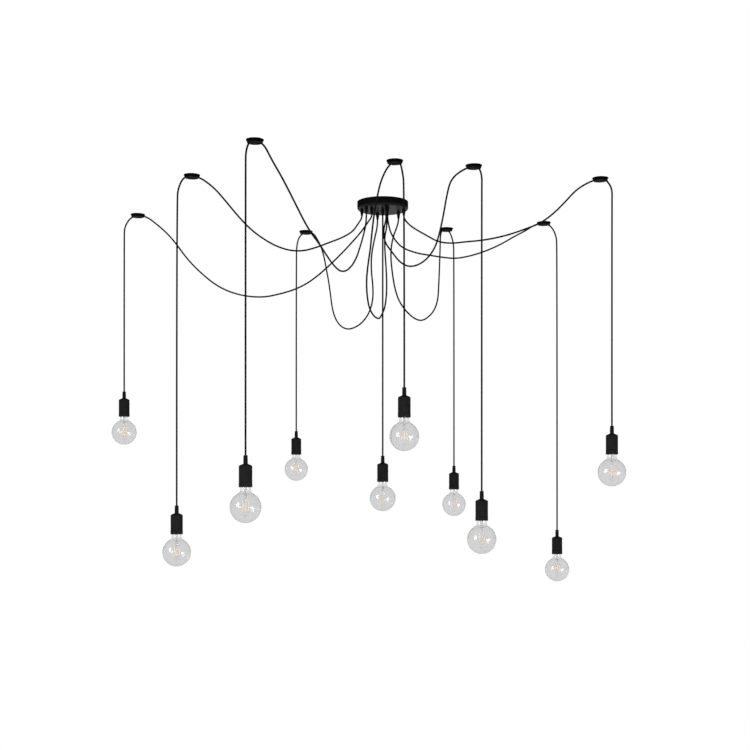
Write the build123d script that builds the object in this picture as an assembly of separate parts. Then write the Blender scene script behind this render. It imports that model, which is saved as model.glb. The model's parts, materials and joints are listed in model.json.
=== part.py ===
from build123d import *
import math
import os

os.makedirs("parts", exist_ok=True)

# ---------------------------------------------------------------------------
# Ten-light swagged pendant.  Millimetres, +Z up.
# Origin: centre of the ceiling canopy, on the ceiling plane (z = 0).
# +X is to the right and +Y is away from somebody who stands in front of it.
# Everything hangs below z = 0.
# ---------------------------------------------------------------------------

# cords
CORD_D = 6.0                 # round textile covered cord
CORD_R = CORD_D / 2.0

# canopy (the ceiling cup)
CAN_R = 94.0                 # outer radius
CAN_H = 30.0                 # depth below the ceiling
CAN_T = 1.5                  # sheet thickness
CAN_EDGE = 8.5               # rounded lower edge
COVER_SCREW_Z = -10.0        # the two set screws in the side wall
GRIP_HOLE_R = 5.1            # ten holes for the cord grips

# ceiling bracket inside the canopy
BAR_HALF = 90.5
BAR_W = 22.0
BAR_T = 2.0
TAB_T = 1.8
TAB_DROP = 18.0
SLOT_SPACING = 112.0
SLOT_W = 5.2
SLOT_L = 20.0

# cord grips under the canopy
GRIP_MOUTH_Z = -50.0
GRIP_BORE_R = 3.05
GRIP_STUB_R = 4.95
GRIP_STUB_TOP = -20.5
NUT_AF = 14.0
NUT_T = 3.0

# ceiling hooks (cord holders)
HOOK_R = 25.0                # the cup
HOOK_H = 10.2
HOOK_WALL = 2.0
HOOK_PLATE = 1.2
HOOK_RIM = -3.1              # the cup stops just under the disc
BASE_R = 27.5                # the disc on the ceiling
BASE_T = 2.8
SCREW_HOLE_R = 2.25          # hole for the ceiling screw
SCREW_HOLE_LEN = 1.2         # straight part of that hole, above its countersink
CSK_R = 4.2
CHANNEL_Z = -5.9             # height of the cord's centre inside a hook
BOSS_OFFSET = 15.0
BOSS_R = 3.3

# swing
PIVOT_Z = -80.0              # a swagged cord swings from here
PIVOT_Z_CENTRE = -50.5       # the centre cord swings from its grip's mouth
PIVOT_GAP = 0.5              # each side of the pivot

# lampholder, heights are above its mouth
HOLD_R = 20.4
HOLD_WALL = 2.2
RING_R = 20.7
RING_H = 15.0
BODY_TOP = 61.5
SHOULDER_TOP = 71.5
RELIEF_TOP = 96.5

# bulb, a clear 95 mm globe with a 27 mm screw cap
GLOBE_R = 47.5
MOUTH_ABOVE_GLOBE = 60.5     # lampholder mouth above the globe's centre
NECK_R = 15.8
NECK_BLEND = 12.0
GLASS_T = 0.9
CAP_R = 12.9
THREAD_PITCH = 3.6

# ---------------------------------------------------------------------------
# Where things are, numbered from left to right.
#   grip   : x, y of the cord grip on the canopy
#   hook   : x, y of the ceiling hook
#   inn    : direction in which the cord enters the hook
#   out    : direction in which it leaves
#   globe_z: height of the bulb's centre
#   route  : corners of the cord, from the grip's mouth to the swing point
# ---------------------------------------------------------------------------
LIGHTS = {
    "01": dict(grip=(-40, -26), hook=(-941.6, 203.9), inn=(-0.98, 0.199), out=(-0.98, 0.199), globe_z=-838.3, route=[
        (-40, -26, -50), (-40, -26, -64.9), (-53.8, -22.5, -82.8), (-77.4, -14.5, -109.5), (-115.1, -4.9, -149.7),
        (-156.8, 6.3, -192.6), (-197.3, 17.4, -230.5), (-238.7, 28.7, -264.4), (-283.4, 40.6, -294.4),
        (-332.3, 53.1, -317.2), (-384.8, 66.2, -330.7), (-438.4, 79.5, -337.9), (-492.2, 92.9, -335.4),
        (-545, 106, -324.5), (-594.4, 118.7, -304.2), (-639.8, 130.7, -274.9), (-681.9, 142.1, -240.8),
        (-721.4, 152.9, -203.6), (-756.7, 163, -162.5), (-789.1, 172.7, -118.3), (-824.5, 182, -76.5),
        (-865.7, 191.1, -40.6), (-912.2, 197.9, -5.9), (-968.1, 209.3, -5.9), (-990.6, 213.8, -22),
        (-996.5, 215, -52), (-996.5, 215, -79.5)]),
    "02": dict(grip=(-77, 2), hook=(-649.2, -394.5), inn=(-0.929, -0.37), out=(-0.76, -0.65), globe_z=-1277.9, route=[
        (-77, 2, -50), (-77, 2, -65), (-89.3, -4.5, -83), (-110.7, -27, -112.8), (-146.6, -55.1, -145.9),
        (-195.3, -85.2, -171.2), (-242.1, -117.9, -191.9), (-286.8, -151.3, -210.1), (-333.6, -185.3, -214.3),
        (-381.4, -220.2, -204), (-426.7, -254.3, -183.3), (-467.5, -285.7, -153.8), (-503.8, -314.3, -117.8),
        (-537.1, -340.3, -77), (-575.2, -363.4, -39.3), (-621.3, -383.4, -5.9), (-649.2, -394.5, -5.9),
        (-672, -414, -5.9), (-690.2, -429.5, -22), (-694.8, -433.4, -52), (-694.8, -433.4, -79.5)]),
    "03": dict(grip=(-60, -46), hook=(-396.3, -820), inn=(-0.821, -0.571), out=(-0.369, -0.93), globe_z=-1126.1, route=[
        (-60, -46, -50), (-60, -46, -67.8), (-58.3, -57, -96.2), (-68.3, -83, -130.8), (-75.2, -119.1, -170.8),
        (-83, -158.6, -207.8), (-91.3, -203.5, -242), (-103.6, -250.7, -278.4), (-110, -300.6, -295.7),
        (-127.2, -351.1, -320.2), (-148.5, -401, -326.9), (-169.9, -453.3, -313.6), (-189.1, -506.3, -293),
        (-209.1, -555.8, -268.6), (-232.9, -601.3, -243.3), (-256.5, -643, -212.8), (-273.9, -680.5, -173.6),
        (-292.6, -715.1, -132.2), (-317.3, -746.6, -91.9), (-345.4, -775, -51.9), (-371.6, -802.9, -5.9),
        (-396.3, -820, -5.9), (-407.3, -847.9, -5.9), (-416.9, -872.1, -22), (-419.1, -877.6, -52),
        (-419.1, -877.6, -79.5)]),
    "04": dict(grip=(-19, 66), hook=(-310.8, 510.4), inn=(-0.902, 0.431), out=(-0.647, 0.762), globe_z=-971.5, route=[
        (-19, 66, -50), (-19, 66, -78), (-30.7, 84, -120.4), (-42, 98.1, -174.6), (-40.2, 114.4, -230.9),
        (-33.4, 133.8, -284.7), (-34.2, 156.3, -336.1), (-50.2, 184, -382), (-77.8, 219.2, -415.5),
        (-109.9, 261.9, -432.1), (-140.8, 307.9, -429), (-168.1, 349.5, -404.4), (-188.5, 383.2, -365.4),
        (-199.7, 409.4, -318), (-206.7, 430.6, -267.1), (-215.9, 448.5, -215), (-225, 463.7, -162.2),
        (-234.4, 477.4, -108.7), (-252.9, 489.7, -57.4), (-281.9, 496.6, -5.9), (-310.8, 510.4, -5.9),
        (-330.2, 533.3, -5.9), (-349.6, 556.2, -22), (-353.5, 560.8, -52), (-353.5, 560.8, -79.5)]),
    "05": dict(grip=(0, 0), hook=None, globe_z=-1094.1, route=None),
    "06": dict(grip=(16, 75), hook=(35.9, -580.3), inn=(0.578, -0.816), out=(0.549, -0.836), globe_z=-898.7, route=[
        (16, 75, -50), (16, 75, -78), (7.2, 53.2, -116.8), (8.3, 34.6, -171.7), (11.8, 12.5, -228.6),
        (14.3, -13.1, -280.7), (14.4, -41.7, -328.8), (11.6, -75.8, -373.7), (5.9, -118.5, -412.8),
        (-2.3, -168.5, -444.3), (-14.1, -221, -464.4), (-32.7, -274.2, -462.1), (-48.4, -326.1, -441.5),
        (-55.6, -372.1, -406.2), (-57.6, -410.2, -362.3), (-52.4, -441.6, -315.4), (-43.9, -468.1, -266.6),
        (-38.6, -491.1, -215.7), (-31.9, -511.4, -163.2), (-21.9, -529.8, -109.4), (-9.3, -546.1, -56.8),
        (16.1, -550.2, -5.9), (50.7, -602.9, -5.9), (62.6, -627.2, -22), (65.5, -632.4, -52),
        (65.5, -632.4, -79.5)]),
    "07": dict(grip=(59, 48), hook=(259.8, 456.3), inn=(0.549, 0.836), out=(0.549, 0.836), globe_z=-1115.9, route=[
        (59, 48, -50), (59, 48, -78), (39.1, 63.5, -119), (30.1, 77, -175.9), (34.7, 93.3, -235),
        (46.1, 112.7, -290.1), (63.4, 135.7, -339.2), (90, 165.2, -378.1), (121.9, 205.6, -400.4),
        (150, 254.5, -404.1), (176.7, 300.3, -385.2), (203.7, 335.7, -350.7), (221.2, 361.7, -304.6),
        (228.8, 381.9, -252.1), (231.5, 398.7, -197.2), (232.6, 413.6, -142.2), (233.9, 419.8, -86.8),
        (233.4, 415.8, -37.5), (242.2, 429.5, -5.9), (276.3, 481.4, -5.9), (290.6, 503.2, -22), (293.9, 508.2, -52),
        (293.9, 508.2, -79.5)]),
    "08": dict(grip=(13, -75), hook=(297, -520), inn=(0.902, -0.431), out=(0.391, -0.921), globe_z=-1230.7, route=[
        (13, -75, -50), (13, -75, -78), (1.9, -100.6, -122.6), (5.5, -125.1, -172.6), (35, -157.4, -216.8),
        (61, -199.7, -257.1), (87.5, -246.5, -284.1), (118.2, -295.6, -289.1), (150.9, -343.6, -274.3),
        (176.9, -384.6, -243.3), (191.2, -418.8, -198.3), (202.1, -448.6, -145.8), (210.3, -473.7, -88.7),
        (225, -493.1, -37.2), (270, -507.1, -5.9), (297, -520, -5.9), (308.7, -547.6, -5.9), (316.6, -566, -22),
        (318.9, -571.6, -52), (318.9, -571.6, -79.5)]),
    "09": dict(grip=(17, -46), hook=(639.6, 344.1), inn=(0.928, 0.372), out=(0.928, 0.372), globe_z=-1374.5, route=[
        (17, -46, -50), (17, -46, -68.2), (22.1, -42, -96.6), (32.5, -31, -121), (50.1, -12, -147.6),
        (72.7, 11.7, -166.9), (123, 43.4, -181.3), (177.4, 79.4, -184.5), (227.9, 112.8, -185.2),
        (277, 144.2, -182.4), (325.4, 175.2, -168), (374.5, 205.7, -148.8), (423.1, 234.5, -126.7),
        (469.9, 261.3, -99.8), (515, 287.1, -68.4), (563.2, 312.3, -40.2), (611.7, 333, -5.9), (667.4, 355.3, -5.9),
        (689.7, 364.2, -22), (695.2, 366.4, -52), (695.2, 366.4, -79.5)]),
    "10": dict(grip=(78, 0), hook=(742.4, -353.7), inn=(0.902, -0.431), out=(0.561, -0.828), globe_z=-1008.3, route=[
        (78, 0, -50), (78, 0, -65.8), (92.9, -8.5, -85.7), (118.2, -27, -107.7), (155.2, -53.5, -134.1),
        (201, -80.6, -164.1), (248.3, -107.1, -176.6), (297.4, -134.2, -177), (347.9, -162.4, -176.1),
        (398.2, -189.9, -172.6), (448.1, -216.4, -163.9), (498.3, -241.9, -151.2), (547.9, -265.4, -136.3),
        (591.1, -286.9, -110.3), (628.9, -307.1, -73), (668.3, -325.9, -36.5), (715.3, -340.8, -5.9),
        (742.4, -353.7, -5.9), (759.2, -378.6, -5.9), (770.5, -395.1, -22), (773.8, -400.1, -52),
        (773.8, -400.1, -79.5)]),
}
# where each inner lead turns towards the terminal block, and the face it ends on
LEAD_ENDS = {
    "02": [(14.5, -15, -8), (14.5, -10.2, -8)], "01": [(19.2, -17, -8), (19.2, -10.2, -8)],
    "03": [(24, -20, -8), (24, -10.2, -8)], "08": [(33.5, -20, -8), (33.5, -10.2, -8)],
    "09": [(28.8, -20, -8), (28.8, -10.2, -8)], "05": [(11.8, 0, -8)],
    "04": [(15, 18, -8), (15, 10.2, -8)], "06": [(21, 22, -8), (21, 10.2, -8)],
    "07": [(27, 22, -8), (27, 10.2, -8)], "10": [(33, 16, -8), (33, 10.2, -8)],
}
LEAD_R = 1.8


def spin(profile, closed=True):
    """Solid of revolution about Z from (radius, height) points or edges."""
    pts = [(r, 0, z) for r, z in profile]
    face = make_face(Polyline(*pts, close=closed))
    return revolve(face, Axis.Z, 360)


def tube(points, radius):
    """Straight runs joined by tangent arcs, each as large as its runs allow."""
    v = [Vector(*p) for p in points]
    radii = []
    for a, b, c in zip(v, v[1:], v[2:]):
        turn = math.radians((b - a).get_angle(c - b))
        radii.append(0.45 * min((b - a).length, (c - b).length) / math.tan(turn / 2))
    path = FilletPolyline(*v, radius=radii)
    solid = sweep(Plane(path @ 0, z_dir=path % 0) * Circle(radius), path=path)
    return solid, path, radii


def save(shape, name):
    export_step(shape, "parts/%s.step" % name)


def cyl(x, y, z_low, z_high, r):
    return Pos(x, y, z_low) * Cylinder(r, z_high - z_low, align=(Align.CENTER, Align.CENTER, Align.MIN))


# ---------------------------------------------------------------------------
# canopy
# ---------------------------------------------------------------------------
outer = cyl(0, 0, -CAN_H, 0, CAN_R)
outer = fillet(outer.edges().filter_by(GeomType.CIRCLE).sort_by(Axis.Z)[0], CAN_EDGE)
inner = cyl(0, 0, -CAN_H + CAN_T, 1, CAN_R - CAN_T)
inner = fillet(inner.edges().filter_by(GeomType.CIRCLE).sort_by(Axis.Z)[0], CAN_EDGE - CAN_T)
cover = outer - inner
for d in LIGHTS.values():
    cover -= cyl(d["grip"][0], d["grip"][1], -CAN_H - 1, -CAN_H + CAN_T + 1, GRIP_HOLE_R)
for s in (-1, 1):
    cover -= Pos(s * CAN_R, 0, COVER_SCREW_Z) * Rot(0, 90, 0) * Cylinder(2.15, 8)
save(cover, "canopy_cover")

bar = Pos(0, 0, -BAR_T / 2) * Box(2 * BAR_HALF, BAR_W, BAR_T)
for s in (-1, 1):
    bar += Pos(s * (BAR_HALF - TAB_T / 2), 0, -TAB_DROP / 2) * Box(TAB_T, BAR_W, TAB_DROP)
    bar -= Pos(s * BAR_HALF, 0, COVER_SCREW_Z) * Rot(0, 90, 0) * Cylinder(2.05, 8)
    bar -= Pos(s * SLOT_SPACING / 2, 0, -BAR_T / 2) * extrude(SlotOverall(SLOT_L, SLOT_W), 4, both=True)
bar -= cyl(-20, 0, -4, 1, 2.05)          # earth screw
bar -= cyl(24, 0, -4, 1, 1.3)            # terminal block screw
save(bar, "ceiling_bracket")

screws = []
for s in (-1, 1):
    grub = Pos(s * (BAR_HALF - 0.3), 0, COVER_SCREW_Z) * Rot(0, 90, 0) * Cylinder(2.0, 7.2)
    grub -= Pos(s * (BAR_HALF + 3.3), 0, COVER_SCREW_Z) * Rot(0, 90, 0) * extrude(RegularPolygon(1.15, 6), 2.2, both=True)
    screws.append(grub)
earth = cyl(-20, 0, -5.0, -2.0, 3.8) + cyl(-20, 0, -2.0, -0.3, 2.0)
earth -= Pos(-20, 0, -5.0) * Box(0.9, 6.0, 2.0)
screws.append(earth)
save(Compound(children=screws), "canopy_screws")

block = Pos(24, 0, -7.5) * Box(24, 20, 11)
for x in (16, 24, 32):
    block -= Pos(x, 0, -7.5) * Rot(90, 0, 0) * Cylinder(2.3, 22)
    for y in (-5, 5):
        block -= cyl(x, y, -14, -9, 1.7)
save(block, "terminal_block")

contacts = []
for x in (16, 24, 32):
    c = Pos(x, 0, -7.5) * Rot(90, 0, 0) * (Cylinder(2.2, 17) - Cylinder(1.5, 20))
    contacts.append(c)
    for y in (-5, 5):
        s = cyl(x, y, -12.6, -10.0, 1.6)
        s -= Pos(x, y, -12.8) * Box(0.6, 3.4, 1.4)
        contacts.append(s)
save(Compound(children=contacts), "terminal_contacts")

# bottle shaped cord grips: threaded stub through the canopy, flange, tapering body
GRIP = [(GRIP_BORE_R, GRIP_STUB_TOP), (GRIP_STUB_R, GRIP_STUB_TOP), (GRIP_STUB_R, -CAN_H), (7.2, -CAN_H),
        (7.2, -31.4), (6.6, -32.0), (6.45, -34.0), (6.1, -36.5), (5.5, -40.0), (4.9, -43.5), (4.5, -46.5),
        (4.35, -48.9), (3.9, -50.0), (GRIP_BORE_R, GRIP_MOUTH_Z)]
grips, nuts, leads = [], [], []
for n, d in LIGHTS.items():
    gx, gy = d["grip"]
    grips.append(Pos(gx, gy, 0) * spin(GRIP))
    nut = Pos(gx, gy, -CAN_H + CAN_T) * extrude(RegularPolygon(NUT_AF / 2, 6, major_radius=False), NUT_T)
    nuts.append(nut - cyl(gx, gy, -CAN_H, -10, GRIP_STUB_R + 0.05))
    lead, _, _ = tube([(gx, gy, GRIP_STUB_TOP), (gx, gy, -8)] + LEAD_ENDS[n], LEAD_R)
    leads.append(cyl(gx, gy, GRIP_MOUTH_Z, GRIP_STUB_TOP + 0.5, CORD_R) + lead)
save(Compound(children=grips), "cord_grips")
save(Compound(children=nuts), "cord_grip_nuts")
save(Compound(children=leads), "inner_leads")

# ---------------------------------------------------------------------------
# ceiling hooks: a disc on the ceiling, a slightly smaller cup under it with two
# slots for the cord, and two screws that draw the cup up and pinch the cord
# ---------------------------------------------------------------------------
bases, caps, hook_screws = [], [], []
for n, d in LIGHTS.items():
    if d["hook"] is None:
        continue
    hx, hy = d["hook"]
    a_in = math.degrees(math.atan2(-d["inn"][1], -d["inn"][0]))
    a_out = math.degrees(math.atan2(d["out"][1], d["out"][0]))
    mx, my = d["inn"][0] + d["out"][0], d["inn"][1] + d["out"][1]
    a_side = math.degrees(math.atan2(mx, -my))
    sx, sy = BOSS_OFFSET * math.cos(math.radians(a_side)), BOSS_OFFSET * math.sin(math.radians(a_side))
    base = spin([(0, 0), (BASE_R, 0), (BASE_R, -BASE_T + 0.7), (BASE_R - 0.2, -BASE_T + 0.3), (BASE_R - 0.7, -BASE_T), (0, -BASE_T)])
    for s in (-1, 1):
        base += cyl(s * sx, s * sy, -HOOK_H + HOOK_PLATE + 0.1, -BASE_T + 0.5, BOSS_R)
    base -= cyl(0, 0, -4, 1, SCREW_HOLE_R)
    base -= spin([(0, -SCREW_HOLE_LEN), (SCREW_HOLE_R, -SCREW_HOLE_LEN), (CSK_R, -BASE_T), (CSK_R, -BASE_T - 1), (0, -BASE_T - 1)])
    for s in (-1, 1):
        base -= cyl(s * sx, s * sy, -12, -1.4, 1.25)
    cap = spin([(0, -HOOK_H), (HOOK_R - 2.4, -HOOK_H), (HOOK_R - 1.5, -HOOK_H + 0.2), (HOOK_R - 0.7, -HOOK_H + 0.75),
                (HOOK_R - 0.2, -HOOK_H + 1.5), (HOOK_R, -HOOK_H + 2.4), (HOOK_R, HOOK_RIM - 0.3), (HOOK_R - 0.3, HOOK_RIM),
                (HOOK_R - HOOK_WALL, HOOK_RIM), (HOOK_R - HOOK_WALL, -HOOK_H + HOOK_PLATE), (0, -HOOK_H + HOOK_PLATE)])
    for a in (a_in, a_out):
        cap -= Rot(0, 0, a) * Pos(17.75, 0, -7.2) * Box(20.5, 8.8, 9.6)
    for s in (-1, 1):
        cap -= cyl(s * sx, s * sy, -12, -8, 1.7)
        scr = cyl(s * sx, s * sy, -HOOK_H - 1.2, -HOOK_H, 2.8) + cyl(s * sx, s * sy, -HOOK_H, -2.4, 1.2)
        scr -= Pos(s * sx, s * sy, -HOOK_H - 1.2) * (Box(0.7, 3.2, 1.2) + Box(3.2, 0.7, 1.2))
        hook_screws.append(Pos(hx, hy, 0) * scr)
    bases.append(Pos(hx, hy, 0) * base)
    caps.append(Pos(hx, hy, 0) * cap)
save(Compound(children=bases), "hook_bases")
save(Compound(children=caps), "hook_caps")
save(Compound(children=hook_screws), "hook_screws")

# ---------------------------------------------------------------------------
# swags, from grip to hook and round to the vertical
# ---------------------------------------------------------------------------
for n, d in LIGHTS.items():
    if d["route"] is None:
        continue
    solid, path, radii = tube(d["route"], CORD_R)
    want = math.pi * CORD_R ** 2 * path.length
    print("swag_cord_%s length %.0f radii min %.0f" % (n, path.length, min(radii)),
          [round(r) for r in radii], "volume/ideal %.4f" % (solid.volume / want))
    save(solid, "swag_cord_%s" % n)

# ---------------------------------------------------------------------------
# one pendant: straight cord, lampholder, socket and bulb
# ---------------------------------------------------------------------------
# strain relief, a waisted cylinder, with a threaded stub that goes into the shoulder
RELIEF = [(GRIP_BORE_R, RELIEF_TOP), (5.9, RELIEF_TOP), (6.55, RELIEF_TOP - 0.8), (6.7, RELIEF_TOP - 4.6),
          (6.35, RELIEF_TOP - 5.4), (6.35, RELIEF_TOP - 6.6), (6.65, RELIEF_TOP - 8.6), (6.9, RELIEF_TOP - 16.0),
          (6.9, SHOULDER_TOP + 2.2), (6.6, SHOULDER_TOP + 1.6), (6.6, SHOULDER_TOP),
          (GRIP_STUB_R, SHOULDER_TOP), (GRIP_STUB_R, SHOULDER_TOP - 9.0), (GRIP_BORE_R, SHOULDER_TOP - 9.0)]
# upper cover of the lampholder: shoulder and body
UPPER = [(5.05, SHOULDER_TOP), (7.2, SHOULDER_TOP), (8.6, 69.6), (11.0, 68.0), (14.5, 66.2), (17.6, 64.6), (19.6, 63.2),
         (HOLD_R, BODY_TOP), (HOLD_R, RING_H + 1.0), (HOLD_R - 0.6, RING_H + 0.3), (HOLD_R - HOLD_WALL, RING_H + 0.3),
         (HOLD_R - HOLD_WALL, 59.8), (16.0, 61.8), (5.05, 64.5)]
# lower ring, screwed up inside the cover
RING = [(RING_R - 0.8, 0.0), (RING_R, 0.8), (RING_R, RING_H - 0.7), (RING_R - 0.7, RING_H), (17.7, RING_H),
        (17.7, 27.0), (16.3, 27.0), (16.3, 10.5), (17.9, 9.0), (17.9, 0.0)]
# socket: insulating cup, brass screw shell and centre contact
CUP = [(0.0, 57.0), (14.0, 57.0), (15.9, 55.0), (15.9, 11.5), (14.5, 11.5), (14.5, 44.0), (0.0, 44.0)]
SHELL = [(13.8, 13.0), (14.4, 13.0), (14.4, 41.0), (9.0, 41.0), (9.0, 40.3), (13.8, 40.3)]

# the bulb, heights above the globe's centre
bc_r = NECK_R + NECK_BLEND
bc_h = math.sqrt((GLOBE_R + NECK_BLEND) ** 2 - bc_r ** 2)
t_r, t_h = bc_r * GLOBE_R / (GLOBE_R + NECK_BLEND), bc_h * GLOBE_R / (GLOBE_R + NECK_BLEND)
a1 = math.atan2(t_h, t_r)


def globe_wall(shift):
    """One skin of the glass, from the pole up to the cap: arcs and lines."""
    R = GLOBE_R - shift
    nb = NECK_BLEND + shift
    tr, th = bc_r * R / (R + nb), bc_h * R / (R + nb)
    a0 = -math.pi / 2
    am = (a0 + math.atan2(th, tr)) / 2
    e = [ThreePointArc((0, 0, -R), (R * math.cos(am), 0, R * math.sin(am)), (tr, 0, th))]
    n0, n1 = math.atan2(th - bc_h, tr - bc_r), -math.pi
    nm = (n0 + (-math.pi)) / 2
    e.append(ThreePointArc((tr, 0, th), (bc_r + nb * math.cos(nm), 0, bc_h + nb * math.sin(nm)), (bc_r - nb, 0, bc_h)))
    return e, (bc_r - nb, bc_h)


o_edges, o_end = globe_wall(0.0)
i_edges, i_end = globe_wall(GLASS_T)
o_top = [Line((o_end[0], 0, o_end[1]), (o_end[0], 0, 63.0)), Line((o_end[0], 0, 63.0), (12.3, 0, 68.2)), Line((12.3, 0, 68.2), (12.3, 0, 72.0))]
i_top = [Line((i_end[0], 0, i_end[1]), (i_end[0], 0, 62.6)), Line((i_end[0], 0, 62.6), (11.4, 0, 67.8)), Line((11.4, 0, 67.8), (11.4, 0, 72.0))]
close_pole = Line((0, 0, -GLOBE_R), (0, 0, -GLOBE_R + GLASS_T))
close_top = Line((12.3, 0, 72.0), (11.4, 0, 72.0))
glass = revolve(make_face(Wire(o_edges + o_top + [close_top] + i_edges + i_top + [close_pole])), Axis.Z, 360)

# screw cap with rolled rings at the thread's pitch
cap_pts = [(CAP_R - 0.5, 68.4), (CAP_R, 68.4)]
z = 70.0
while z < 70.0 + 5 * THREAD_PITCH - 0.1:
    cap_pts += [(CAP_R - 0.35, z), (CAP_R + 0.30, z + THREAD_PITCH * 0.35), (CAP_R + 0.30, z + THREAD_PITCH * 0.6)]
    z += THREAD_PITCH
cap_pts += [(CAP_R - 0.6, 89.0), (11.0, 91.0), (8.0, 91.8), (8.0, 91.2), (10.6, 90.4), (12.35, 88.0), (12.35, 68.4)]
screw_cap = spin(cap_pts)
vitrite = spin([(0, 91.0), (7.9, 91.0), (7.9, 92.0), (5.2, 95.0), (0, 95.0)])
tip = spin([(0, 95.0), (4.7, 95.0), (4.6, 96.0), (3.4, 97.0), (0, 97.0)])
# pressed glass stem with its rod, two star wires and the filament sticks
stem = spin([(0, 22.0), (1.5, 22.4), (1.7, 30.0), (2.6, 33.0), (3.3, 40.0), (4.2, 52.0), (6.5, 60.0), (11.2, 67.2),
             (11.2, 68.6), (9.8, 68.6), (5.6, 61.5), (2.6, 53.0), (0, 51.0)])
star_hi = Pos(0, 0, 21.6) * Cylinder(11.2, 0.8)
star_lo = Pos(0, 0, -15.0) * Cylinder(11.2, 0.8)
sticks = [Pos(10.0 * math.cos(math.radians(a)), 10.0 * math.sin(math.radians(a)), 3.3) * Cylinder(1.0, 35.8) for a in range(30, 390, 60)]
rod = Pos(0, 0, 3.3) * Cylinder(0.9, 35.8)

for n, d in LIGHTS.items():
    if d["route"] is None:
        x, y = d["grip"]
        top = PIVOT_Z_CENTRE - PIVOT_GAP
    else:
        x, y = d["route"][-1][0], d["route"][-1][1]
        top = PIVOT_Z - PIVOT_GAP
    mouth = d["globe_z"] + MOUTH_ABOVE_GLOBE
    up = Pos(x, y, mouth)
    low = mouth + SHOULDER_TOP - 9.0
    print("drop_cord_%s length %.0f" % (n, top - low))
    save(cyl(x, y, low, top, CORD_R), "drop_cord_%s" % n)
    save(Compound(children=[up * spin(RELIEF), up * spin(UPPER), up * spin(RING)]), "lampholder_%s" % n)
    contact = spin([(0, 36.8), (3.6, 36.8), (3.6, 37.6), (1.6, 37.6), (1.6, 44.0), (0, 44.0)])
    save(Compound(children=[up * spin(CUP), up * spin(SHELL), up * contact]), "socket_%s" % n)
    g = Pos(x, y, d["globe_z"])
    save(Compound(children=[g * s for s in [glass, screw_cap, vitrite, tip, stem, star_hi, star_lo, rod] + sticks]), "bulb_%s" % n)
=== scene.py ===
import bpy
import json
import math
from mathutils import Vector, Matrix

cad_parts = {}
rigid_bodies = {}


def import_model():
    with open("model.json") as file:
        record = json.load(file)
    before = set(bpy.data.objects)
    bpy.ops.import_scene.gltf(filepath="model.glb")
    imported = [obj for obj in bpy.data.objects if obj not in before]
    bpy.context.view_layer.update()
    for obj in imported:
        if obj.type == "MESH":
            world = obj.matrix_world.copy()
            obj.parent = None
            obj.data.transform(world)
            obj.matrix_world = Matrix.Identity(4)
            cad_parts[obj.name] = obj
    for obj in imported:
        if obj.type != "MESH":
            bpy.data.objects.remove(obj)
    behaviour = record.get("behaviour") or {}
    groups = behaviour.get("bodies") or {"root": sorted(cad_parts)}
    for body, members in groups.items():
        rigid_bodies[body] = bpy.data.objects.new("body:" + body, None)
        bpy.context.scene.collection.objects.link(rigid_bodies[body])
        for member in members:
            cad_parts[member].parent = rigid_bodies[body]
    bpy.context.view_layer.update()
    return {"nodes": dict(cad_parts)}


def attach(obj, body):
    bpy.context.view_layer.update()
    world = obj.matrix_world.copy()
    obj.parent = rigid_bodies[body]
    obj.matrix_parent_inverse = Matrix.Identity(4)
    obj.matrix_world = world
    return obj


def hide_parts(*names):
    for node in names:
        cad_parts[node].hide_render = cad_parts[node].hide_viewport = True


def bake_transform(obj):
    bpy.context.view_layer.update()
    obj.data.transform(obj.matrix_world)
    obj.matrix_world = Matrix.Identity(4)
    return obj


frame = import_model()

scene = bpy.context.scene
MM = 0.001

# ---------------------------------------------------------------------------
# Camera: level, looking along +Y, with the picture's horizon low in the frame
# ---------------------------------------------------------------------------
cam_data = bpy.data.cameras.new("camera")
cam_data.lens = 62.4
cam_data.sensor_width = 36.0
cam_data.shift_x = -0.33 / 750.0
cam_data.shift_y = 130.3 / 750.0
cam_data.clip_start = 0.05
cam_data.clip_end = 200.0
camera = bpy.data.objects.new("camera", cam_data)
camera.location = (-0.0273, -4.802, -1.12)
camera.rotation_euler = (math.radians(90), 0, 0)
scene.collection.objects.link(camera)
scene.camera = camera

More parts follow.
